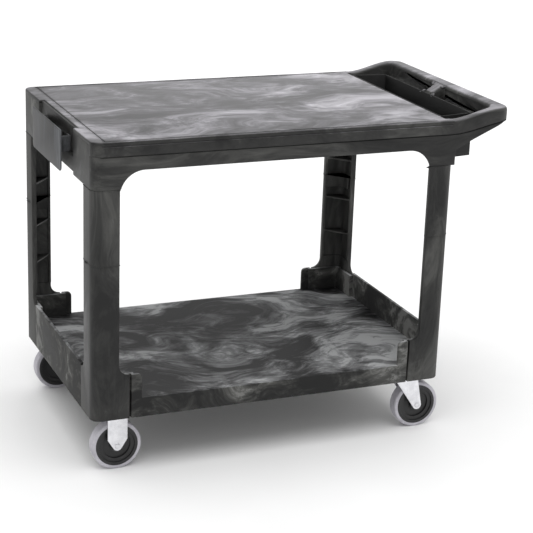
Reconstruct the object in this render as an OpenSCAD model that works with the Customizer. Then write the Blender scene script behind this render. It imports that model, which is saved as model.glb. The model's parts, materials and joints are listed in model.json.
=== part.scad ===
// Two-shelf rolling utility cart: a flat deck, a grip bar with a deep bin, open corner legs and four
// casters, rigid at the left end and swivel at the handle end. Millimetres, +X to the handle, -Y the
// near long side, +Z up, the floor at z = 0.

/* [Overall] */
// Length over the posts
frame_l = 958; // [800:1:1150]
// Width over the posts
frame_w = 641; // [540:1:780]
// Height of the deck's top
deck_h = 848; // [700:1:1020]
// How far the grip stands past the posts
handle_reach = 162; // [135:1:195]
// How far the end plate stands past the posts
plate_reach = 24; // [20:1:29]

/* [Deck and frame] */
// Thickness of the deck's plate
deck_t = 7; // [5:0.5:9]
// Depth of the deck's skirt, from its top to the seam
skirt_h = 35; // [29:1:42]
// Depth of the frame's apron, below the seam
apron_h = 36; // [30:1:43]
// Wall of the mouldings
wall = 6; // [5:0.5:7]
// Depth from the deck's top to the leg seams
stub_drop = 116; // [112:1:140]
// Radius of the arch between apron and leg
arch_r = 62; // [52:1:70]
// Radius of the frame's corners
corner_r = 26.5; // [22:0.5:30]
// Length of the leg block on each end face
end_block = 162; // [135:1:190]
// Depth from the deck's top to the apron's lower edge on the end faces
end_drop = 108; // [100:1:114]

/* [Handle] */
// How far the grip's crest stands above the deck
grip_rise = 26; // [21:1:31]
// Width of the grip bar along the cart
grip_w = 46; // [40:1:55]
// Thickness of the handle's arms
arm_w = 27; // [23:1:32]
// Radius of the grip's outer corners
grip_r = 46; // [40:1:55]
// Width of the web that joins the grip to the bin
web_w = 44; // [36:1:52]

/* [Bin] */
// Opening of the bin along the cart
bin_l = 94; // [79:1:98]
// Length of the bin across the cart
bin_w = 500; // [420:1:540]
// Depth of the bin
bin_h = 113; // [92:1:115]
// Wall of the bin
bin_wall = 3.5; // [3:0.5:4]

/* [End plate] */
// Width of the end plate
plate_w = 262; // [242:1:290]
// Height of the end plate
plate_h = 104; // [86:1:110]
// Thickness of the end plate
plate_t = 4; // [3:0.5:5]
// Width of the recess behind the end plate
recess_w = 314; // [300:1:340]
// Depth of the recess
recess_d = 14; // [11:1:16]
// Height of the recess
recess_h = 70; // [60:1:72]

/* [Posts] */
// Width of a post along the cart
post_w = 68; // [60:1:80]
// Depth of a post across the cart
post_d = 75; // [65:1:88]
// Height of the seam between the upper and the lower post
mid_seam_z = 545; // [460:1:620]
// Width of the foot along the cart
foot_w = 95; // [88:1:110]
// Depth of the foot across the cart
foot_d = 100; // [90:1:115]
// Thickness of the foot's walls
foot_t = 10; // [9:0.5:12]

/* [Lower shelf] */
// Height of the shelf's lower edge
shelf_z = 147; // [140:1:150]
// Depth of the shelf's rails
rail_h = 50; // [42:1:60]
// Height of the end walls above the floor of the shelf
end_wall_h = 70; // [58:1:84]
// Height of the corner ears above the floor of the shelf
ear_h = 65; // [54:1:70]
// How far the ears stand out past the feet
ear_reach = 27; // [22:1:34]
// Thickness of the end walls and ears
end_wall_t = 8; // [6:0.5:9]

/* [Casters] */
// Diameter of the wheels
wheel_d = 127; // [106:1:130]
// Width of the wheels' tread
tread_w = 32; // [27:1:38]
// Thickness of the tread on the core
tread_t = 9; // [7:0.5:11]
// Overall height of a caster
caster_h = 158; // [155:1:160]
// Diameter of the axle pins
axle_d = 10; // [8:0.5:12]
// Distance of the rigid axles from the left end
rigid_x = 73; // [64:1:85]
// Distance of the kingpins from the handle end of the posts
kingpin_x = 81; // [70:1:92]
// Distance of the wheels' middle plane from the long sides
wheel_y = 48; // [44:1:56]
// How far a swivel wheel trails its kingpin
trail = 34; // [30:1:40]

/* [Fits] */
// Gap between a foot and the shelf's rail
foot_gap = 5; // [4:0.5:7]
// Clearance between plugs, sockets and seated mouldings
plug_gap = 0.3; // [0.2:0.1:0.5]
// Radial clearance of the running fits
run_gap = 0.05; // [0.02:0.01:0.1]

/* [Hidden] */
$fn = 48;
NEAR = -1;
FAR = 1;
LEFT = -1;
RIGHT = 1;
eps = 0.01;
black = "#3b3b3c";
deck_grey = "#4a4a4c";
zinc = "#d4d4d8";
tread_grey = "#a3a1a8";
core_black = "#232323";

// Ends of the cart along X, with the middle of the whole cart at x = 0
left_x = -(frame_l + handle_reach - plate_reach) / 2;
right_x = left_x + frame_l;
grip_x = right_x + handle_reach;
side_y = frame_w / 2;

// Heights
seam_z = deck_h - skirt_h;
apron_z = seam_z - apron_h;
stub_z = deck_h - stub_drop;
end_z = deck_h - end_drop;
floor_z = shelf_z + rail_h;
ear_z = floor_z + ear_h;
end_wall_z = floor_z + end_wall_h;

// Deck and seam details
lip_h = 9;
shadow_h = 3;
shadow_d = 2;
seam_gap_h = 2.5;
seam_gap_d = 4;
groove_w = 4;
groove_t = 2;
groove_side = 10;
groove_end = 31;
rib_t = 5;
rib_h = 12;

// Handle and bin places
bin_flare = 15;
bin_end_x = right_x + 82;
bin_start_x = bin_end_x - bin_l - 2 * bin_wall;
deck_end_x = bin_start_x - plug_gap;
arm_y = side_y - arm_w;
hole_start_x = bin_end_x + plug_gap;
grip_inner_x = grip_x - grip_w;
bend_x = right_x - 12;
web_t = 20;
well_r = 30;
grip_top = deck_h + grip_rise;

// A point on a smooth S curve from 0 to 1
function ease(t) = t * t * (3 - 2 * t);
// Heights of the handle's three outlines above x, each a rise along the arm
function rise_at(x, rise, reach) = rise * ease(max(0, min(1, (x - bend_x) / reach)));
arm_steps = 10;
arm_xs = [for (i = [0 : arm_steps]) bend_x + (grip_x - bend_x) * i / arm_steps];
function top_z(x) = deck_h + rise_at(x, grip_rise, 0.8 * (grip_x - bend_x));
function joint_z(x) = seam_z + rise_at(x, grip_rise + 2, grip_x - bend_x);
// The lower arm runs up from the leg to the grip in two straight stretches
brace_x = right_x + 46;
brace_z = seam_z - 19;
chin_x = grip_x - 22;
chin_z = seam_z + 23;
nose_t = 3;
knee_z = apron_z - 6;

// Rounded rectangle with its own corner radii at the low and the high end of X
module plan(x0, x1, half_w, r0, r1) {
    translate([x0 + r0, -half_w])
        square([x1 - r1 - x0 - r0, 2 * half_w]);
    translate([x0, r0 - half_w])
        square([r0 + eps, 2 * (half_w - r0)]);
    translate([x1 - r1 - eps, r1 - half_w])
        square([r1 + eps, 2 * (half_w - r1)]);
    for (s = [-1, 1]) {
        translate([x0 + r0, s * (half_w - r0)])
            circle(r0);
        translate([x1 - r1, s * (half_w - r1)])
            circle(r1);
    }
}

// Outline of the deck and grip seen from above, drawn in by a margin
module cart_plan(inset = 0) {
    plan(left_x + inset, grip_x - inset, side_y - inset, corner_r - inset, grip_r - inset);
}

// Inside of the mouldings' outer walls, as far as x1
module hollow_plan(x1) {
    plan(left_x + wall, x1, side_y - wall, corner_r - wall, 2);
}

// Extrude an XZ outline right across the cart
module across(half_w = side_y) {
    rotate([90, 0, 0])
        linear_extrude(2 * half_w, center = true)
            children();
}

// Place a corner piece that is drawn with its corner at the origin, in +X and +Y
module at_corner(sx, sy) {
    translate([sx == LEFT ? left_x : right_x, sy * side_y, 0])
        mirror([sx == LEFT ? 0 : 1, 0, 0])
            mirror([0, sy == NEAR ? 0 : 1, 0])
                children();
}

module at_corners() {
    for (sx = [LEFT, RIGHT], sy = [NEAR, FAR])
        at_corner(sx, sy)
            children();
}

// ---------------------------------------------------------------- fasteners

screw_d = 6;
screw_head_d = 12;
screw_head_h = 3;
pilot_gap = 0.1;

// A round-head screw that points up, its head's underside at z = 0
module screw(length) {
    cylinder(h = length, d = screw_d, $fn = 24);
    translate([0, 0, -screw_head_h])
        cylinder(h = screw_head_h, d1 = screw_head_d - 3, d2 = screw_head_d, $fn = 24);
}

module pilot(length) {
    translate([0, 0, -eps])
        cylinder(h = length + eps, d = screw_d + 2 * pilot_gap, $fn = 24);
}

// ---------------------------------------------------------------- top deck

module upper_outline() {
    polygon(concat(
        [[left_x - 1, seam_z], [left_x - 1, deck_h]],
        [for (x = arm_xs) [x, top_z(x)]],
        [[grip_x + 1, grip_top], [grip_x + 1, joint_z(grip_x)]],
        [for (i = [arm_steps : -1 : 0]) [arm_xs[i], joint_z(arm_xs[i])]]
    ));
}

// The space between the deck's end and the grip, where the bin hangs
module handle_well(low, high) {
    translate([0, 0, low])
        linear_extrude(high - low)
            plan(deck_end_x, grip_inner_x, arm_y, 2, well_r);
}

nose_r = 16;

// The grip's outer edge, rounded over its crest
module nose_cut() {
    difference() {
        translate([grip_x - nose_r, grip_top - nose_r])
            square(nose_r + 2);
        translate([grip_x - nose_r, grip_top - nose_r])
            circle(nose_r);
    }
}

deck_screw_inset = 14;
deck_screw_l = 44;
deck_screw_xs = [for (i = [0 : 2]) left_x + 0.22 * frame_l + i * 0.28 * frame_l];
boss_d = 14;

module at_deck_screws() {
    for (x = deck_screw_xs, s = [-1, 1])
        translate([x, s * (side_y - wall - deck_screw_inset), apron_z + 6])
            children();
}

module top_deck() {
    color(deck_grey) difference() {
        intersection() {
            linear_extrude(grip_top + 1)
                cart_plan();
            across()
                upper_outline();
        }
        // Hollow under the deck, with its ribs left standing
        difference() {
            translate([0, 0, seam_z - 1])
                linear_extrude(skirt_h + 1 - deck_t)
                    hollow_plan(deck_end_x - wall);
            deck_ribs();
        }
        // The frame's end wall closes the left end, below the deck's lip
        translate([left_x - 1, corner_r - side_y, seam_z - 1])
            cube([wall + 1 + eps, frame_w - 2 * corner_r, skirt_h + 1 - lip_h]);
        translate([left_x - 1, -recess_w / 2, seam_z - 1])
            cube([recess_d + 1, recess_w, skirt_h + 2]);
        // Shadow line below the lip on the long sides
        for (s = [-1, 1])
            translate([left_x + corner_r, s * side_y - shadow_d, deck_h - lip_h - shadow_h])
                cube([bend_x - left_x - corner_r, 2 * shadow_d, shadow_h]);
        deck_groove();
        handle_well(seam_z - 10, grip_top + 10);
        across()
            nose_cut();
        at_bin_screws()
            pilot(bin_screw_l);
        at_deck_screws()
            pilot(deck_screw_l + 2);
    }
    color(deck_grey)
        grip_web();
}

module deck_ribs() {
    for (i = [1 : 7])
        translate([left_x + i * frame_l / 8 - rib_t / 2, -side_y, deck_h - deck_t - rib_h])
            cube([rib_t, frame_w, rib_h + 1]);
    for (j = [-2 : 2])
        translate([left_x, j * frame_w / 6 - rib_t / 2, deck_h - deck_t - rib_h])
            cube([frame_l + handle_reach, rib_t, rib_h + 1]);
    at_deck_screws()
        translate([0, 0, seam_z - apron_z - 6])
            cylinder(h = skirt_h, d = boss_d);
}

// Border groove: one stretch along the left end and one along each long side
module deck_groove() {
    translate([left_x + groove_end, groove_side - side_y, deck_h - groove_t])
        cube([groove_w, frame_w - 2 * groove_side, groove_t + 1]);
    for (s = [0, 1])
        mirror([0, s, 0])
            translate([left_x + groove_end, side_y - groove_side - groove_w, deck_h - groove_t])
                cube([deck_end_x - left_x - groove_end - 34, groove_w, groove_t + 1]);
}

// The web that steadies the grip in the middle, sloping down to the bin's rim. The hand holes on
// both sides of it have round ends.
module grip_web() {
    end_r = (grip_inner_x - hole_start_x) / 2 - 1;
    difference() {
        rotate([90, 0, 0])
            linear_extrude(web_w + 2 * end_r, center = true)
                polygon([
                    [hole_start_x, deck_h - web_t], [hole_start_x, deck_h],
                    [grip_inner_x + eps, top_z(grip_inner_x) - 4],
                    [grip_inner_x + eps, joint_z(grip_inner_x) + eps]
                ]);
        for (s = [-1, 1])
            translate([hole_start_x + end_r + 1, s * (web_w / 2 + end_r), 0])
                cylinder(h = grip_top + 1, r = end_r);
    }
}

// ---------------------------------------------------------------- top frame

module lower_outline() {
    polygon(concat(
        [[left_x - 1, stub_z], [left_x - 1, deck_h - lip_h]],
        [[left_x + wall, deck_h - lip_h], [left_x + wall, seam_z]],
        [for (x = arm_xs) [x, joint_z(x)]],
        [[grip_x, joint_z(grip_x) - nose_t], [chin_x, chin_z], [brace_x, brace_z]],
        [[right_x, knee_z], [right_x, stub_z]]
    ));
}

// One opening between the leg stubs, arched at both ends
module arch(span, low, high, r) {
    translate([r - span / 2, low - 1])
        square([span - 2 * r, high - low + 1]);
    translate([-span / 2, low - 1])
        square([span, high - r - low + 1]);
    for (s = [-1, 1])
        translate([s * (span / 2 - r), high - r])
            circle(r, $fn = 96);
}

stub_plug_l = 36;

module top_frame() {
    color(black) difference() {
        intersection() {
            linear_extrude(grip_top + 1)
                cart_plan();
            across()
                lower_outline();
        }
        // Hollow inside of the apron, between the leg stubs
        translate([0, 0, stub_z - 1])
            linear_extrude(deck_h)
                hollow_plan(right_x - wall);
        // Arched openings in the long sides
        translate([(left_x + right_x) / 2, 0, 0])
            across(side_y + 1)
                arch(frame_l - 2 * post_w, stub_z, apron_z, arch_r);
        // Lower edge of the end faces, between the corner blocks
        translate([left_x - 1, end_block - side_y, stub_z - 1])
            cube([frame_l + 2, frame_w - 2 * end_block, end_z - stub_z + 1]);
        // The deck's skirt wraps the corners at the left end
        for (s = [0, 1])
            mirror([0, s, 0])
                translate([left_x - 1, side_y - corner_r - plug_gap, seam_z])
                    cube([wall + 2, corner_r + 1, skirt_h]);
        // Recess behind the end plate
        translate([left_x - 1, -recess_w / 2, deck_h - recess_h])
            cube([recess_d + 1 - wall, recess_w, recess_h]);
        handle_well(stub_z - 10, grip_top + 10);
        seam_shadow();
    }
    color(black) difference() {
        union() {
            recess_back();
            frame_cross_wall();
            at_deck_screws()
                translate([0, 0, 0.5])
                    cylinder(h = seam_z - apron_z - 6.5, d = boss_d);
            for (x = deck_screw_xs, s = [0, 1])
                mirror([0, s, 0])
                    translate([x - rib_t / 2, side_y - wall - deck_screw_inset, apron_z + 6.5])
                        cube([rib_t, deck_screw_inset + eps, seam_z - apron_z - 6.5]);
        }
        at_deck_screws()
            pilot(deck_screw_l + 2);
        at_plate_screws()
            pilot(plate_screw_l + 1);
        bin_space();
    }
}

// Dark line along the seam: the frame's top edge steps in
module seam_shadow() {
    difference() {
        across(side_y + 1)
            polygon(concat(
                [[left_x + corner_r - 6, seam_z], [left_x + corner_r - 6, seam_z - seam_gap_h]],
                [for (x = arm_xs) [x, joint_z(x) - seam_gap_h]],
                [[grip_x + 2, joint_z(grip_x) - seam_gap_h], [grip_x + 2, joint_z(grip_x) + 1]],
                [for (i = [arm_steps : -1 : 0]) [arm_xs[i], joint_z(arm_xs[i]) + eps]]
            ));
        translate([0, 0, seam_z - 10])
            linear_extrude(deck_h)
                cart_plan(seam_gap_d);
    }
}

// Back, sides and floor of the recess in the left end
module recess_back() {
    low = deck_h - recess_h;
    difference() {
        translate([left_x + 1, -recess_w / 2 - wall, low - wall])
            cube([recess_d - 1, recess_w + 2 * wall, recess_h + wall - lip_h]);
        translate([left_x, -recess_w / 2, low])
            cube([recess_d - wall, recess_w, recess_h]);
    }
    translate([left_x + recess_d - wall, -recess_w / 2 + plug_gap, deck_h - lip_h - 1])
        cube([wall, recess_w - 2 * plug_gap, lip_h - 2]);
}

// The wall below the deck's end, and the two that carry the lower arms
module frame_cross_wall() {
    translate([right_x - wall, wall - side_y - eps, end_z])
        cube([wall, frame_w - 2 * wall + 2 * eps, apron_z + 8 - end_z]);
}

// Room for the bin where it passes between the frame's walls
module bin_space() {
    translate([bin_start_x - plug_gap, -bin_w / 2 - 24, deck_h - bin_h - 10])
        cube([bin_l + 2 * bin_wall + 2 * plug_gap, bin_w + 48, bin_h + 20]);
}

// ---------------------------------------------------------------- posts

// Cross-section of a leg: two walls that meet at the cart's rounded corner
module angle_section(w, d, t, r) {
    difference() {
        corner_piece(w, d, r);
        translate([t, t])
            corner_piece(w, d, max(2, r - t));
    }
}

// Rectangle with one rounded corner at the origin
module corner_piece(w, d, r) {
    translate([r, 0])
        square([w - r, d]);
    translate([0, r])
        square([r + eps, d - r]);
    translate([r, r])
        circle(r);
}

collar_t = 2;
collar_out = 1;
post_t = 7;
lip_t = 7;
lip_d = 13;
gusset_t = 5;
plug_t = 5;
upper_gussets = [deck_h - 248];
lower_gussets = [mid_seam_z - 62, mid_seam_z - 165];

// Stiffening lips along a leg's two free edges
module leg_lips(low, high) {
    translate([0, 0, low])
        linear_extrude(high - low) {
            translate([post_w - lip_t, post_t - eps])
                square([lip_t, lip_d - post_t]);
            translate([post_t - eps, post_d - lip_t])
                square([lip_d - post_t, lip_t]);
        }
}

// Leg walls between two heights
module leg(low, high) {
    translate([0, 0, low])
        linear_extrude(high - low)
            angle_section(post_w, post_d, post_t, corner_r);
    leg_lips(low, high);
}

// Three-cornered shelves that brace the two walls of a leg
module gussets(heights) {
    for (z = heights)
        translate([0, 0, z - gusset_t])
            linear_extrude(gusset_t)
                intersection() {
                    polygon([[0, 0], [post_w - lip_t, 0], [post_w - lip_t, lip_d],
                        [lip_d, post_d - lip_t], [0, post_d - lip_t]]);
                    translate([2, 2])
                        corner_piece(post_w, post_d, corner_r - 2);
                }
}

// A plug that slides into the next piece of the leg, clear of its lips and of the bin
plug_d = min(side_y - bin_w / 2 - bin_flare - 2, post_d - lip_t - plug_gap) - post_t - plug_gap;

module plug(low, high) {
    inset = post_t + plug_gap;
    translate([inset, inset, low])
        linear_extrude(high - low)
            angle_section(post_w - inset - lip_t - plug_gap, plug_d, plug_t, corner_r - inset);
}

// Thin collar that shows as a dark line at a seam
module collar(low) {
    translate([0, 0, low])
        linear_extrude(collar_t)
            difference() {
                translate([-collar_out, -collar_out])
                    corner_piece(post_w + 2 * collar_out, post_d + 2 * collar_out, corner_r + collar_out);
                translate([post_t + plug_gap + plug_t, post_t + plug_gap + plug_t])
                    square([post_w + 2 * collar_out, post_d + 2 * collar_out]);
            }
}

lug_w = 16;
lug_h = 6;
lug_out = 5;

// Snap lugs: one on the end face at the middle seam, one on the arch side of the right-hand legs
module lugs(sx) {
    translate([-lug_out, post_d - lug_w - 20, mid_seam_z])
        cube([lug_out + 1, lug_w, collar_t]);
    if (sx == RIGHT)
        translate([post_w - 1, 1, stub_z - lug_h])
            rotate([-90, 0, 0])
                linear_extrude(lug_w / 2)
                    polygon([[0, 0], [1 + 2 * lug_out, -lug_h / 2], [0, -lug_h]]);
}

module upper_post(sx, sy) {
    color(black) at_corner(sx, sy) {
        leg(mid_seam_z + collar_t, stub_z - collar_t);
        gussets(upper_gussets);
        collar(mid_seam_z);
        collar(stub_z - collar_t);
        lugs(sx);
        plug(stub_z - collar_t - eps, stub_z + stub_plug_l);
        plug(mid_seam_z - stub_plug_l, mid_seam_z + collar_t);
    }
}

// What is cut from a foot's face above its shoulder, with a hollow fillet up to the post
module shoulder_cut(narrow, wide) {
    reach = wide - narrow;
    translate([narrow, ear_z + reach])
        square([reach + 1, mid_seam_z]);
    translate([wide, ear_z + reach])
        circle(reach, $fn = 64);
}

module lower_post(sx, sy) {
    thin_z = ear_z + max(foot_w - post_w, foot_d - post_d) + 8;
    color(black) at_corner(sx, sy) {
        difference() {
            translate([0, 0, shelf_z])
                linear_extrude(mid_seam_z - shelf_z)
                    angle_section(foot_w, foot_d, foot_t, corner_r);
            // Face along the cart
            translate([0, foot_t + 1, 0])
                rotate([90, 0, 0])
                    linear_extrude(foot_t + 2)
                        shoulder_cut(post_w, foot_w);
            // Face across the cart
            translate([-1, 0, 0])
                rotate([90, 0, 90])
                    linear_extrude(foot_t + 2)
                        shoulder_cut(post_d, foot_d);
            translate([post_t, post_t, thin_z])
                linear_extrude(mid_seam_z)
                    corner_piece(post_w, post_d, corner_r - post_t);
        }
        leg_lips(thin_z, mid_seam_z);
        gussets(lower_gussets);
    }
}

// ---------------------------------------------------------------- lower shelf

// Outline of the shelf, notched at its corners for the feet
module shelf_plan(inset) {
    notch_x = foot_w + foot_gap + inset;
    notch_y = foot_d + 1 + inset;
    step = foot_t + plug_gap + inset;
    translate([left_x + notch_x, inset - side_y])
        square([frame_l - 2 * notch_x, frame_w - 2 * inset]);
    translate([left_x + inset, notch_y - side_y])
        square([frame_l - 2 * inset, frame_w - 2 * notch_y]);
    r = max(2, corner_r - foot_t - inset);
    plan(left_x + step, right_x - step, side_y - step, r, r);
}

floor_t = 7;
pad_margin = 2;

module lower_shelf() {
    color(black) difference() {
        union() {
            translate([0, 0, floor_z - floor_t])
                linear_extrude(floor_t)
                    shelf_plan(0);
            translate([0, 0, shelf_z])
                linear_extrude(rail_h)
                    difference() {
                        shelf_plan(0);
                        shelf_plan(wall);
                    }
            intersection() {
                translate([0, 0, shelf_z])
                    linear_extrude(ear_z - shelf_z)
                        difference() {
                            shelf_plan(0);
                            shelf_plan(end_wall_t);
                        }
                ear_zone();
            }
            for (sx = [0, 1])
                translate([(left_x + right_x) / 2, 0, 0])
                    mirror([sx, 0, 0])
                        translate([-frame_l / 2, foot_d + 1 - side_y, floor_z - 1])
                            cube([end_wall_t, frame_w - 2 * foot_d - 2, end_wall_h + 1]);
            shelf_ribs();
            intersection() {
                at_casters()
                    translate([-plate_l / 2 - pad_margin, -plate_across / 2 - pad_margin, caster_h])
                        cube([plate_l + 2 * pad_margin, plate_across + 2 * pad_margin, floor_z - caster_h - 1]);
                linear_extrude(floor_z)
                    shelf_plan(0);
            }
        }
        at_casters()
            plate_screw_places()
                translate([0, 0, caster_h - 1])
                    pilot(caster_screw_l + 2);
    }
}

// Where the shelf's edge walls rise above the floor, with the ears' corners rounded
module ear_zone() {
    ear_x = foot_w + foot_gap + ear_reach;
    r = 12;
    at_corners() {
        rotate([90, 0, 0])
            translate([0, 0, -2 * foot_d])
                linear_extrude(2 * foot_d + 1) {
                    translate([-1, shelf_z])
                        square([ear_x + 1 - r, ear_h + rail_h]);
                    translate([ear_x - r - eps, shelf_z])
                        square([r + eps, ear_h + rail_h - r]);
                    translate([ear_x - r, ear_z - r])
                        circle(r);
                }
    }
}

module shelf_ribs() {
    low = floor_z - floor_t - rib_h;
    for (i = [1 : 7])
        translate([left_x + i * frame_l / 8 - rib_t / 2, wall - side_y - eps, low])
            cube([rib_t, frame_w - 2 * wall + 2 * eps, rib_h + 1]);
    for (j = [-2 : 2])
        translate([left_x + wall - eps, j * frame_w / 7 - rib_t / 2, low])
            cube([frame_l - 2 * wall + 2 * eps, rib_t, rib_h + 1]);
}

// ---------------------------------------------------------------- end plate and bin

plate_gap_x = left_x + recess_d - wall;
web_span = 224;
plate_web_t = 6;
plate_web_h = 39;
plate_web_z = deck_h - recess_h + 1;
plate_screw_l = 12;
plate_foot_t = 4;

module end_plate() {
    plate_z = deck_h - 10 - plate_h;
    color(black) difference() {
        union() {
            rotate([90, 0, 90])
                translate([0, 0, left_x - plate_reach])
                    linear_extrude(plate_t)
                        difference() {
                            translate([-plate_w / 2, plate_z])
                                square([plate_w, plate_h]);
                            plate_corner_cuts(plate_z);
                        }
            for (s = [-1, 1])
                translate([left_x - plate_reach, s * web_span / 2 - plate_web_t / 2, plate_web_z])
                    cube([plate_gap_x - left_x + plate_reach - plug_gap, plate_web_t, plate_web_h]);
            for (s = [-1, 1])
                translate([plate_gap_x - plate_foot_t - plug_gap, s * (web_span / 2 - 12) - 13, plate_web_z])
                    cube([plate_foot_t, 26, plate_web_h]);
        }
        at_plate_screws()
            pilot(plate_screw_l);
    }
}

module plate_corner_cuts(plate_z) {
    r = 12;
    for (s = [-1, 1])
        translate([s * (plate_w / 2 - r), plate_z + r])
            difference() {
                translate([s > 0 ? 0 : -r - 1, -r - 1])
                    square(r + 1);
                circle(r);
            }
}

// The end plate's screws go through its flanges into the recess's back wall
module at_plate_screws() {
    for (s = [-1, 1], z = [10, plate_web_h - 10])
        translate([plate_gap_x - plate_foot_t - plug_gap, s * (web_span / 2 - 14), plate_web_z + z])
            rotate([0, 90, 0])
                children();
}

// Outline of the bin seen from above: its end walls splay towards the deck
module bin_plan(inset) {
    polygon([
        [bin_start_x + inset, -bin_w / 2 - bin_flare + inset],
        [bin_end_x - inset, -bin_w / 2 + inset],
        [bin_end_x - inset, bin_w / 2 - inset],
        [bin_start_x + inset, bin_w / 2 + bin_flare - inset]
    ]);
}

bin_screw_l = 14;

module at_bin_screws() {
    for (y = [-0.3, 0.3])
        translate([bin_start_x + bin_wall, y * bin_w, deck_h - 20])
            rotate([0, -90, 0])
                children();
}

module handle_bin() {
    color(black) difference() {
        translate([0, 0, deck_h - bin_h])
            linear_extrude(bin_h)
                bin_plan(0);
        translate([0, 0, deck_h - bin_h + bin_wall])
            linear_extrude(bin_h)
                bin_plan(bin_wall);
        at_bin_screws()
            pilot(bin_screw_l);
    }
}

// ---------------------------------------------------------------- casters

core_r = wheel_d / 2 - tread_t;
sleeve_d = axle_d + 6;
hub_d = 34;
hub_w = tread_w + 4;
leg_t = 3;
leg_gap = hub_w / 2 + 1.5;
caster_plate_t = 3;
tip_r = 12;
axle_z = wheel_d / 2;
crown_z = wheel_d + 12;
caster_screw_l = 22;
// The plates fit inside the shelf's corners
corner_wall = foot_t + max(wall, end_wall_t) + plug_gap;
plate_l = min(100, 2 * (min(rigid_x, kingpin_x) - corner_wall - 2 * plug_gap));
plate_across = 2 * (wheel_y - corner_wall - 2 * plug_gap);
plate_r = 7;
screw_dx = plate_l - 24;
screw_dy = plate_across - 18;

rigid_axle_x = left_x + rigid_x;
pin_x = right_x - kingpin_x;
caster_y = side_y - wheel_y;

module at_rigid(sy) {
    translate([rigid_axle_x, sy * caster_y, 0])
        children();
}

module at_swivel(sy) {
    translate([pin_x, sy * caster_y, 0])
        children();
}

module at_swivel_wheel(sy) {
    at_swivel(sy)
        translate([trail, 0, 0])
            children();
}

module at_casters() {
    for (sy = [NEAR, FAR]) {
        at_rigid(sy)
            children();
        at_swivel(sy)
            children();
    }
}

module plate_screw_places() {
    for (x = [-1, 1], y = [-1, 1])
        translate([x * screw_dx / 2, y * screw_dy / 2, 0])
            children();
}

// Turn a ring's outline about the wheel's axle
module about_axle() {
    translate([0, 0, axle_z])
        rotate([90, 0, 0])
            rotate_extrude($fn = 96)
                children();
}

module tyre() {
    shoulder = 4;
    half = tread_w / 2;
    outer = wheel_d / 2;
    color(tread_grey) about_axle() {
        translate([core_r, shoulder - half])
            square([tread_t, tread_w - 2 * shoulder]);
        translate([core_r, -half])
            square([tread_t - shoulder, tread_w]);
        for (s = [-1, 1])
            translate([outer - shoulder, s * (half - shoulder)])
                circle(shoulder, $fn = 32);
    }
}

module core() {
    rim_w = 8;
    web_half = 5;
    half = tread_w / 2;
    color(core_black) about_axle() {
        translate([core_r - rim_w, -half])
            square([rim_w, tread_w]);
        translate([hub_d / 2 - eps, -web_half])
            square([core_r - hub_d / 2, 2 * web_half]);
        translate([sleeve_d / 2 + run_gap, -hub_w / 2])
            square([hub_d / 2 - sleeve_d / 2 - run_gap, hub_w]);
        // Shallow step that shows as a ring near the rim
        for (s = [-1, 1])
            translate([core_r - rim_w - 10, s * (half - 8.5) - 3.5])
                square([10 + eps, 7]);
    }
}

module sleeve() {
    color(zinc) about_axle()
        translate([axle_d / 2 + run_gap, -leg_gap])
            square([(sleeve_d - axle_d) / 2 - run_gap, 2 * leg_gap]);
}

pin_head_h = 2.5;
nut_h = 7;

// The pin's domed head is on the outer side
module axle(sy) {
    reach = leg_gap + leg_t;
    color(zinc) translate([0, 0, axle_z])
        rotate([sy * 90, 0, 0]) {
            translate([0, 0, -reach - nut_h])
                cylinder(h = 2 * reach + nut_h, d = axle_d);
            translate([0, 0, reach])
                cylinder(h = pin_head_h, d1 = axle_d + 5, d2 = axle_d + 2);
        }
}

module nut(sy) {
    color(zinc) translate([0, 0, axle_z])
        rotate([sy * 90, 0, 0])
            translate([0, 0, -leg_gap - leg_t - nut_h])
                difference() {
                    cylinder(h = nut_h, d = axle_d * 1.9, $fn = 6);
                    translate([0, 0, -1])
                        cylinder(h = nut_h + 2, d = axle_d);
                }
}

// Where the straight edge from a point meets the tip circle
function touch(p, side) =
    let (a = atan2(p[1], p[0]) + side * acos(tip_r / norm(p)))
    [tip_r * cos(a), tip_r * sin(a)];

// A fork leg seen from the side: upper edge, two bends and a round tip at the axle
module leg_face(left_bend, right_bend, left_top, right_top) {
    polygon([left_top, right_top, right_bend, touch(right_bend, -1), touch(left_bend, 1), left_bend]);
    circle(tip_r);
}

module fork_legs() {
    for (s = [-1, 1])
        translate([0, s * (leg_gap + leg_t / 2), axle_z])
            rotate([90, 0, 0])
                linear_extrude(leg_t, center = true)
                    difference() {
                        children();
                        circle(d = axle_d);
                    }
}

module caster_plate() {
    difference() {
        translate([0, 0, caster_h - caster_plate_t])
            linear_extrude(caster_plate_t)
                plan(-plate_l / 2, plate_l / 2, plate_across / 2, plate_r, plate_r);
        plate_screw_places()
            translate([0, 0, caster_h - caster_plate_t - 1])
                cylinder(h = caster_plate_t + 2, d = screw_d + 2 * pilot_gap, $fn = 24);
    }
}

rigid_leg_half = 25.5;
rigid_bend = 18;

module rigid_fork() {
    top = caster_h - caster_plate_t + eps - axle_z;
    color(zinc) {
        caster_plate();
        fork_legs()
            leg_face([-rigid_leg_half, rigid_bend], [rigid_leg_half, rigid_bend],
                [-rigid_leg_half, top], [rigid_leg_half, top]);
    }
}

crown_t = 4;
crown_r = 32;
kingpin_d = 12;
race_r = 27;

module swivel_plate() {
    color(zinc) difference() {
        caster_plate();
        translate([0, 0, caster_h - caster_plate_t - 1])
            cylinder(h = caster_plate_t + 2, d = kingpin_d);
    }
}

// Hardened ring between the plate and the fork's crown
module swivel_race() {
    low = crown_z + crown_t + 0.4;
    color(zinc) translate([0, 0, low])
        difference() {
            cylinder(h = caster_h - caster_plate_t - low, r = race_r);
            translate([0, 0, -1])
                cylinder(h = caster_h, d = kingpin_d);
        }
}

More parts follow.
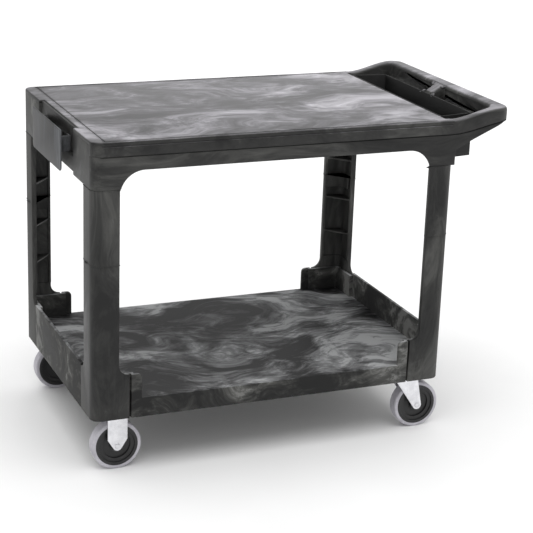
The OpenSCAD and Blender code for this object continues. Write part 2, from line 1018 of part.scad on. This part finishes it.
module swivel_kingpin() {
    head_h = 4;
    color(zinc) {
        translate([0, 0, crown_z - 0.4])
            cylinder(h = caster_h - crown_z + 0.4, d = kingpin_d);
        translate([0, 0, crown_z - 0.4 - head_h])
            cylinder(h = head_h, d = kingpin_d + 8);
    }
}

module swivel_fork() {
    top = crown_z + crown_t - axle_z;
    color(zinc) {
        translate([0, 0, crown_z])
            linear_extrude(crown_t)
                difference() {
                    union() {
                        circle(crown_r);
                        translate([-crown_r, -leg_gap - leg_t])
                            square([2 * crown_r, 2 * (leg_gap + leg_t)]);
                    }
                    circle(d = kingpin_d + 2 * run_gap);
                }
        translate([trail, 0, 0])
            fork_legs()
                leg_face([-crown_r - trail, top - 4], [crown_r - trail, top - 4],
                    [-crown_r - trail, top], [crown_r - trail, top]);
    }
}

// ---------------------------------------------------------------- fastener groups

module deck_screws() {
    color(zinc) at_deck_screws()
        screw(deck_screw_l);
}

module end_plate_screws() {
    color(zinc) at_plate_screws()
        screw(plate_screw_l);
}

module bin_screws() {
    color(zinc) at_bin_screws()
        screw(bin_screw_l);
}

module caster_screws() {
    color(zinc) at_casters()
        plate_screw_places()
            translate([0, 0, caster_h - caster_plate_t])
                screw(caster_screw_l);
}

top_deck();
top_frame();
handle_bin();
end_plate();
upper_post(LEFT, NEAR);  // upper_post_near_left
upper_post(RIGHT, NEAR);  // upper_post_near_right
upper_post(LEFT, FAR);  // upper_post_far_left
upper_post(RIGHT, FAR);  // upper_post_far_right
lower_post(LEFT, NEAR);  // lower_post_near_left
lower_post(RIGHT, NEAR);  // lower_post_near_right
lower_post(LEFT, FAR);  // lower_post_far_left
lower_post(RIGHT, FAR);  // lower_post_far_right
lower_shelf();
deck_screws();
end_plate_screws();
bin_screws();
caster_screws();
at_rigid(NEAR) rigid_fork();  // rigid_near_fork
at_rigid(NEAR) tyre();  // rigid_near_tyre
at_rigid(NEAR) core();  // rigid_near_core
at_rigid(NEAR) sleeve();  // rigid_near_sleeve
at_rigid(NEAR) axle(FAR);  // rigid_near_axle
at_rigid(NEAR) nut(FAR);  // rigid_near_nut
at_rigid(FAR) rigid_fork();  // rigid_far_fork
at_rigid(FAR) tyre();  // rigid_far_tyre
at_rigid(FAR) core();  // rigid_far_core
at_rigid(FAR) sleeve();  // rigid_far_sleeve
at_rigid(FAR) axle(NEAR);  // rigid_far_axle
at_rigid(FAR) nut(NEAR);  // rigid_far_nut
at_swivel(NEAR) swivel_plate();  // swivel_near_plate
at_swivel(NEAR) swivel_race();  // swivel_near_race
at_swivel(NEAR) swivel_kingpin();  // swivel_near_kingpin
at_swivel(NEAR) swivel_fork();  // swivel_near_fork
at_swivel_wheel(NEAR) tyre();  // swivel_near_tyre
at_swivel_wheel(NEAR) core();  // swivel_near_core
at_swivel_wheel(NEAR) sleeve();  // swivel_near_sleeve
at_swivel_wheel(NEAR) axle(FAR);  // swivel_near_axle
at_swivel_wheel(NEAR) nut(FAR);  // swivel_near_nut
at_swivel(FAR) swivel_plate();  // swivel_far_plate
at_swivel(FAR) swivel_race();  // swivel_far_race
at_swivel(FAR) swivel_kingpin();  // swivel_far_kingpin
at_swivel(FAR) swivel_fork();  // swivel_far_fork
at_swivel_wheel(FAR) tyre();  // swivel_far_tyre
at_swivel_wheel(FAR) core();  // swivel_far_core
at_swivel_wheel(FAR) sleeve();  // swivel_far_sleeve
at_swivel_wheel(FAR) axle(NEAR);  // swivel_far_axle
at_swivel_wheel(FAR) nut(NEAR);  // swivel_far_nut
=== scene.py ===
"""Looks of the rolling utility cart: softened foam mouldings, steel casters, camera and light."""
import json
from math import cos, radians, sin

import bmesh
import bpy
from mathutils import Matrix, Vector


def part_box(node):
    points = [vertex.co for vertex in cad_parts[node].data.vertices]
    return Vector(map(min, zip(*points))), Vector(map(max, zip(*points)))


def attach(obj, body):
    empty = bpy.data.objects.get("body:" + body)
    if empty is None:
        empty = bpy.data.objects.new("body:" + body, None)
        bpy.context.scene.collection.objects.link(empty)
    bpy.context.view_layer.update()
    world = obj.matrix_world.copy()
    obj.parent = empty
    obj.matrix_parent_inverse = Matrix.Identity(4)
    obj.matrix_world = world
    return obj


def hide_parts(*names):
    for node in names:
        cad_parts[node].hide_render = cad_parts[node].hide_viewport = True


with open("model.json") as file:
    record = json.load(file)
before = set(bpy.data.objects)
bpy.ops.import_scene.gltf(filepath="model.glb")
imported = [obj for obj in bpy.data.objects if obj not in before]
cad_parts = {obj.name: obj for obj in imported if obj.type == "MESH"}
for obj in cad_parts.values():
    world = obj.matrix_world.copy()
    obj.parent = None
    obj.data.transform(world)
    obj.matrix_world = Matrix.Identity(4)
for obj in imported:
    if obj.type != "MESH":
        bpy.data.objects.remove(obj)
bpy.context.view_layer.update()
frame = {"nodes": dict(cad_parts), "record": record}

MM = 0.001


# ------------------------------------------------------------------ camera

def place_camera():
    """Long lens from the near left, a little above the deck and tipped a little."""
    aim = Vector((0.0355, 0.0, 0.3923))
    azimuth, height, roll = radians(-23.07), radians(18.34), radians(2.05)
    distance = 4.301
    lens_mm, sensor_mm = 107.4, 36
    back = Vector((sin(azimuth) * cos(height), -cos(azimuth) * cos(height), sin(height)))
    camera = bpy.data.objects.new("camera", bpy.data.cameras.new("camera"))
    camera.data.lens = lens_mm
    camera.data.sensor_width = sensor_mm
    stand = Matrix.Translation(aim + back * distance)
    turn = (-back).to_track_quat("-Z", "Y").to_matrix().to_4x4()
    camera.matrix_world = stand @ turn @ Matrix.Rotation(roll, 4, "Z")
    bpy.context.collection.objects.link(camera)
    bpy.context.scene.camera = camera


place_camera()


# ------------------------------------------------------------------ material helpers

def srgb(hex_code):
    """Linear RGBA from an sRGB hex code."""
    parts = [int(hex_code[i:i + 2], 16) / 255 for i in (1, 3, 5)]
    return [v / 12.92 if v <= 0.04045 else ((v + 0.055) / 1.055) ** 2.4 for v in parts] + [1.0]


def add(tree, kind, links=None, **settings):
    """Adds one node: settings are its properties, links maps its inputs to sockets or values."""
    made = tree.nodes.new(kind)
    for name, value in settings.items():
        setattr(made, name, value)
    for key, value in (links or {}).items():
        if hasattr(value, "links"):
            tree.links.new(value, made.inputs[key])
        else:
            made.inputs[key].default_value = value
    return made


def new_material(name):
    """A material with only a Principled shader, and its tree."""
    made = bpy.data.materials.new(name)
    made.use_nodes = True
    tree = made.node_tree
    tree.nodes.clear()
    shader = add(tree, "ShaderNodeBsdfPrincipled")
    add(tree, "ShaderNodeOutputMaterial", {"Surface": shader.outputs["BSDF"]})
    return made, tree, shader


def wire(tree, shader, colour, rough, normal):
    """Links a shader's three patterned inputs."""
    for name, socket in (("Base Color", colour), ("Roughness", rough), ("Normal", normal)):
        tree.links.new(socket, shader.inputs[name])


def object_place(tree):
    return add(tree, "ShaderNodeTexCoord").outputs["Object"]


def noise(tree, place, scale, detail, output="Fac", **more):
    """A noise texture; scale is how many blotches it has to the metre."""
    links = {"Vector": place, "Scale": scale, "Detail": detail, **more}
    return add(tree, "ShaderNodeTexNoise", links).outputs[output]


def stretch(tree, place, scale, shift=(0.0, 0.0, 0.0)):
    links = {"Vector": place, "Scale": scale, "Location": shift}
    return add(tree, "ShaderNodeMapping", links).outputs["Vector"]


def vector_math(tree, operation, first, second):
    made = add(tree, "ShaderNodeVectorMath", {0: first, 1: second}, operation=operation)
    return made.outputs[0]


def bump(tree, height, strength, distance, under=None):
    """A bump normal, on top of the one under it if there is one."""
    links = {"Height": height, "Strength": strength, "Distance": distance}
    if under is not None:
        links["Normal"] = under
    return add(tree, "ShaderNodeBump", links).outputs["Normal"]


def ramp(tree, factor, stops):
    """A colour ramp with (position, hex code) stops."""
    made = add(tree, "ShaderNodeValToRGB", {"Fac": factor})
    while len(made.color_ramp.elements) < len(stops):
        made.color_ramp.elements.new(0.5)
    for element, (place, code) in zip(made.color_ramp.elements, stops):
        element.position = place
        element.color = srgb(code)
    return made.outputs["Color"]


def remap(tree, value, low, high, to_low, to_high):
    """A clamped change of range."""
    links = {"Value": value, "From Min": low, "From Max": high,
             "To Min": to_low, "To Max": to_high}
    return add(tree, "ShaderNodeMapRange", links).outputs["Result"]


# ------------------------------------------------------------------ materials

HALF_SPREAD = 0.11                   # of the swirls' values about 0.5, at a contrast of 1
TONE_STEPS = (-1.0, -0.1, 1.0, 1.7)  # where the four tones sit, in half spreads from 0.5


def foam_swirls(tree, place, flow, seed, swirl):
    """The foam's marbling: values about 0.5, pale high and dark low."""
    along = stretch(tree, place, flow, (seed, 0.7 * seed, 1.3 * seed))
    # A slow wander bends the clouds and the streaks together
    wander = noise(tree, along, 0.55 * swirl, 2.5, "Color")
    centred = vector_math(tree, "SUBTRACT", wander, (0.5, 0.5, 0.5))
    push = vector_math(tree, "MULTIPLY", centred, (0.6, 0.6, 0.6))
    bent = vector_math(tree, "ADD", along, push)
    clouds = noise(tree, bent, swirl, 8.0, Roughness=0.62, Distortion=0.6)
    drawn = stretch(tree, bent, [3.4 if v > 1 else 0.9 for v in flow])
    threads = noise(tree, drawn, 2.6 * swirl, 6.0, Roughness=0.68, Distortion=0.4)
    both = add(tree, "ShaderNodeMix", {"Factor": 0.34, "A": clouds, "B": threads},
               data_type="FLOAT").outputs["Result"]
    # Broad light and dark patches, about 300 mm across
    patch = noise(tree, bent, 0.75 * swirl, 1.5)
    drift = remap(tree, patch, 0.3, 0.7, -0.07, 0.07)
    return add(tree, "ShaderNodeMath", {0: both, 1: drift}, operation="ADD").outputs[0]


def structural_foam(name, flow, seed, tones, painted_top_sheen_tones=None, shine=(0.40, 0.70), swirl=4.5,
                    contrast=1.0):
    """Black polyethylene structural foam: gas in the melt leaves pale swirls along the flow.

    flow is the pattern's scale along X, Y and Z, small along the way the melt ran. swirl is how
    many clouds there are to the metre, with drawn-out streaks about 20 mm apart in them. tones
    are the dark, middle and pale colours and the palest streak. The optional second set gives
    the same four, paler, for faces that look up: painted sheen, the light from above painted in.
    """
    made, tree, shader = new_material(name)
    place = object_place(tree)
    marble = foam_swirls(tree, place, flow, seed, swirl)
    half = HALF_SPREAD / contrast
    stops = [min(0.99, 0.5 + step * half) for step in TONE_STEPS]
    base = ramp(tree, marble, list(zip(stops, tones)))
    if painted_top_sheen_tones:
        # Faces that look up blend towards the paler tones: painted sheen of the light from above
        normal = add(tree, "ShaderNodeNewGeometry").outputs["True Normal"]
        upward = add(tree, "ShaderNodeSeparateXYZ", {"Vector": normal}).outputs["Z"]
        painted_sheen_mix = {"Factor": remap(tree, upward, 0.6, 0.97, 0.0, 1.0), "A": base,
                  "B": ramp(tree, marble, list(zip(stops, painted_top_sheen_tones)))}
        base = add(tree, "ShaderNodeMix", painted_sheen_mix, data_type="RGBA").outputs["Result"]
    rough = remap(tree, marble, 0.5 - half, 0.5 + 1.4 * half, *shine)
    # Orange peel of the mould, drawn coarser than real at 2 mm, and the swirls' faint relief
    peel = bump(tree, noise(tree, place, 500.0, 2.0), 0.12, 0.4 * MM)
    wire(tree, shader, base, rough, bump(tree, marble, 0.35, 2 * MM, peel))
    shader.inputs["Specular IOR Level"].default_value = 0.3
    return made


def zinc_steel(name, code, seed, pale="#f1f1f4"):
    """Bright zinc plate on pressed steel: pale, faintly brushed, with soft clouds."""
    made, tree, shader = new_material(name)
    place = object_place(tree)
    cloud = noise(tree, place, 70.0 + seed, 5.0, Roughness=0.6)
    brush = noise(tree, stretch(tree, place, (1.0, 1.0, 14.0)), 120.0, 3.0)
    wire(tree, shader, ramp(tree, cloud, [(0.3, code), (0.7, pale)]),
         remap(tree, brush, 0.3, 0.7, 0.24, 0.42), bump(tree, brush, 0.12, 0.3 * MM))
    shader.inputs["Metallic"].default_value = 1.0
    return made


def rubber(name):
    """Grey thermoplastic rubber tread: matt, with dust and scuffs; its grit is drawn coarser."""
    made, tree, shader = new_material(name)
    place = object_place(tree)
    dust = noise(tree, place, 28.0, 6.0, Roughness=0.65)
    grit = noise(tree, place, 900.0, 2.0)
    wire(tree, shader, ramp(tree, dust, [(0.32, "#a3a1a8"), (0.55, "#bab8bf"), (0.75, "#c8c6cc")]),
         remap(tree, dust, 0.3, 0.7, 0.52, 0.7), bump(tree, grit, 0.2, 0.3 * MM))
    return made


def black_polypropylene(name):
    """Moulded black polypropylene wheel core: satin, with faint flow marks and coarse peel."""
    made, tree, shader = new_material(name)
    place = object_place(tree)
    flow = noise(tree, place, 45.0, 5.0, Distortion=0.6)
    peel = noise(tree, place, 700.0, 2.0)
    wire(tree, shader, ramp(tree, flow, [(0.3, "#161616"), (0.6, "#222223"), (0.8, "#2c2c2d")]),
         remap(tree, flow, 0.3, 0.7, 0.34, 0.5), bump(tree, peel, 0.12, 0.3 * MM))
    return made


# The melt ran along X in the deck, the frame and the shelf, along Z in the legs and the end
# plate, and along Y in the bin
DECK_FLOW = (0.8, 1.3, 1.3)
SHELF_FLOW = (1.0, 1.3, 1.2)
ALONG_X = (0.5, 1.4, 1.4)
ALONG_Y = (1.6, 0.5, 1.6)
ALONG_Z = (1.6, 1.6, 0.5)
SIDE_TONES = ("#171717", "#2c2c2b", "#4c4c4a", "#747472")
BIN_TONES = ("#0b0b0b", "#131313", "#1f1f1f", "#2c2c2c")
PLATE_TONES = ("#1c1c1c", "#343435", "#5d5f62", "#77797c")
# Paler tones for the up-facing faces of the deck and the shelf: painted sheen of the light from
# above
DECK_TOP_PAINTED_SHEEN = ("#343335", "#69686b", "#a9a7ac", "#c8c6cb")
SHELF_TOP_PAINTED_SHEEN = ("#111112", "#505051", "#818283", "#adaeaf")
CORNERS = ("near_left", "near_right", "far_left", "far_right")

deck_foam = structural_foam("charcoal_foam_deck", DECK_FLOW, 3.1, SIDE_TONES, painted_top_sheen_tones=DECK_TOP_PAINTED_SHEEN,
                            swirl=4.6, contrast=0.95)
frame_foam = structural_foam("black_foam_frame", ALONG_X, 7.7, SIDE_TONES)
shelf_foam = structural_foam("black_foam_shelf", SHELF_FLOW, 14.9, SIDE_TONES, painted_top_sheen_tones=SHELF_TOP_PAINTED_SHEEN,
                             swirl=4.4, contrast=1.9, shine=(0.60, 0.85))
leg_foams = [structural_foam(f"black_foam_leg_{i}", ALONG_Z, 20.0 + 3.3 * i, SIDE_TONES)
             for i in range(len(CORNERS))]
bin_foam = structural_foam("black_foam_bin", ALONG_Y, 41.0, BIN_TONES)
plate_foam = structural_foam("black_foam_plate", ALONG_Z, 47.0, PLATE_TONES)
fork_zinc = zinc_steel("zinc_plated_steel", "#dcdce0", 0.0)
pin_zinc = zinc_steel("zinc_plated_fastener", "#c9c9cd", 9.0)
# Zinc screws coloured near black: painted shade of the slots they sit in
screw_painted_shade = zinc_steel("zinc_screw_painted_shade", "#1b1b1c", 15.0, "#2a2a2b")
tread_rubber = rubber("grey_rubber_tread")
core_plastic = black_polypropylene("black_polypropylene_core")


# ------------------------------------------------------------------ pieces

BODIES = frame["record"]["behaviour"]["bodies"]
BODY_OF = {node: body for body, nodes in BODIES.items() for node in nodes}
SMOOTH_ANGLE = 32        # degrees between faces that still shade as one
SHARP_ANGLE = 28         # degrees between faces from which an edge gets a radius


def finish_mesh(bm, name, material):
    """Turns a bmesh into an object at the origin, smooth except at its real edges."""
    mesh = bpy.data.meshes.new(name)
    bm.to_mesh(mesh)
    bm.free()
    mesh.materials.append(material)
    mesh.shade_smooth()
    mesh.set_sharp_from_angle(angle=radians(SMOOTH_ANGLE))
    made = bpy.data.objects.new(name, mesh)
    bpy.context.collection.objects.link(made)
    return made


def merged_copy(node):
    """A bmesh of a CAD node with its loose triangles joined and flat faces dissolved."""
    bm = bmesh.new()
    bm.from_mesh(frame["nodes"][node].data)
    bmesh.ops.remove_doubles(bm, verts=bm.verts, dist=0.02 * MM)
    bmesh.ops.dissolve_limit(bm, angle_limit=radians(0.5), verts=bm.verts, edges=bm.edges)
    return bm


def sharp_edges(bm):
    return [e for e in bm.edges
            if len(e.link_faces) == 2 and e.calc_face_angle(0) > radians(SHARP_ANGLE)]


def bevel(bm, edges, width, segments):
    bmesh.ops.bevel(bm, geom=edges, offset=width, offset_type="OFFSET", segments=segments,
                    profile=0.5, affect="EDGES", clamp_overlap=False, material=-1)


def soften(node, material, width, broad=()):
    """Stands for a CAD node with the small radius that a mould or a press leaves on every edge.

    broad lists rules that pick edges for a wider radius first, each with its radius and segments.
    """
    bm = merged_copy(node)
    for picks, wide, steps in broad:
        bevel(bm, [e for e in sharp_edges(bm) if picks(e)], wide, steps)
    bevel(bm, sharp_edges(bm), width, 2)
    bmesh.ops.triangulate(bm, faces=[f for f in bm.faces if len(f.verts) > 4])
    piece = finish_mesh(bm, node + "_finished", material)
    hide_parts(node)
    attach(piece, BODY_OF[node])


def dress(node, material):
    """Gives a CAD node that keeps its own shape its material."""
    mesh = frame["nodes"][node].data
    mesh.materials.clear()
    mesh.materials.append(material)


deck_low, deck_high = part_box("top_deck")
side = deck_high.y       # outer faces of the deck's skirts and of the shelf's rails
DECK_TOP = 0.848
HANDLE_START = 0.398     # along X, where the arms leave the deck
RAIL_TOP = 0.197         # of the shelf's long rails, between the corner ears
RIM_REACH = 30 * MM      # how far in the rounded corners of the deck's outline come
CLOSE = 0.5 * MM


def ends(edge):
    return [v.co for v in edge.verts]


def on_grip_top(edge):
    """Upper edges of the handle's arms and grip, outer and inner."""
    return all(p.x > HANDLE_START and p.z > DECK_TOP - CLOSE for p in ends(edge))


def on_deck_rim(edge):
    """The deck's upper outline, left of the handle."""
    return (all(abs(p.y) > side - RIM_REACH or p.x < deck_low.x + RIM_REACH for p in ends(edge))
            and all(p.x <= HANDLE_START + 1 * MM and p.z > DECK_TOP - CLOSE for p in ends(edge)))


def on_shelf_rim(edge):
    """Upper outer edges of the shelf's long rails."""
    return all(abs(p.y) > side - 1 * MM and abs(p.z - RAIL_TOP) < CLOSE for p in ends(edge))


soften("top_deck", deck_foam, 1.0 * MM,
       broad=[(on_grip_top, 9.0 * MM, 5), (on_deck_rim, 4.0 * MM, 4)])
soften("top_frame", frame_foam, 1.2 * MM)
soften("lower_shelf", shelf_foam, 1.2 * MM, broad=[(on_shelf_rim, 7.0 * MM, 4)])
soften("handle_bin", bin_foam, 1.0 * MM)
soften("end_plate", plate_foam, 1.2 * MM)
for corner, leg_foam in zip(CORNERS, leg_foams):
    soften(f"upper_post_{corner}", leg_foam, 0.6 * MM)
    soften(f"lower_post_{corner}", leg_foam, 1.2 * MM)

for node in frame["nodes"]:
    if node.endswith("fork") or node.endswith("_plate") and node.startswith("swivel"):
        soften(node, fork_zinc, 0.5 * MM)
    elif node.endswith("tyre"):
        dress(node, tread_rubber)
    elif node.endswith("core"):
        soften(node, core_plastic, 0.6 * MM)
    # These screws' near-black colour is painted shade over what is zinc plate
    elif node in ("end_plate_screws", "bin_screws", "deck_screws"):
        soften(node, screw_painted_shade, 0.25 * MM)
    elif node.endswith(("sleeve", "axle", "nut", "race", "kingpin", "screws")):
        soften(node, pin_zinc, 0.25 * MM)


# ------------------------------------------------------------------ floor and light

def studio_floor():
    """Plain pale floor, 60 m square."""
    bm = bmesh.new()
    bmesh.ops.create_grid(bm, x_segments=1, y_segments=1, size=30.0)
    made, tree, shader = new_material("pale_studio_floor")
    mottle = noise(tree, object_place(tree), 3.0, 2.0)
    pale = ramp(tree, mottle, [(0.3, "#f0f0f0"), (0.7, "#f3f3f3")])
    tree.links.new(pale, shader.inputs["Base Color"])
    shader.inputs["Roughness"].default_value = 0.9
    finish_mesh(bm, "studio_floor", made)


def soft_box(name, place, aim, size, power):
    """A square soft box that faces a point."""
    lamp = bpy.data.lights.new(name, "AREA")
    lamp.size = size
    lamp.energy = power
    made = bpy.data.objects.new(name, lamp)
    made.location = place
    made.rotation_euler = (Vector(aim) - Vector(place)).to_track_quat("-Z", "Y").to_euler()
    bpy.context.collection.objects.link(made)


def ceiling_light(strength):
    """Even light from the ceiling, a little from the near side, that keeps the floor white."""
    lamp = bpy.data.lights.new("ceiling", "SUN")
    lamp.energy = strength
    lamp.angle = radians(60)
    made = bpy.data.objects.new("ceiling", lamp)
    made.rotation_euler = Vector((0.05, 0.16, -1.0)).to_track_quat("-Z", "Y").to_euler()
    bpy.context.collection.objects.link(made)


def studio_sky(strength):
    """Even white light from all round."""
    world = bpy.data.worlds.new("studio")
    bpy.context.scene.world = world
    world.use_nodes = True
    back = world.node_tree.nodes["Background"]
    back.inputs["Color"].default_value = (1.0, 1.0, 1.0, 1.0)
    back.inputs["Strength"].default_value = strength


bpy.context.scene.view_settings.view_transform = "Standard"
studio_floor()
studio_sky(0.7)
ceiling_light(1.8)
soft_box("behind", (1.8, 4.4, 1.9), (0.1, 0.0, 0.8), 2.6, 14.0)
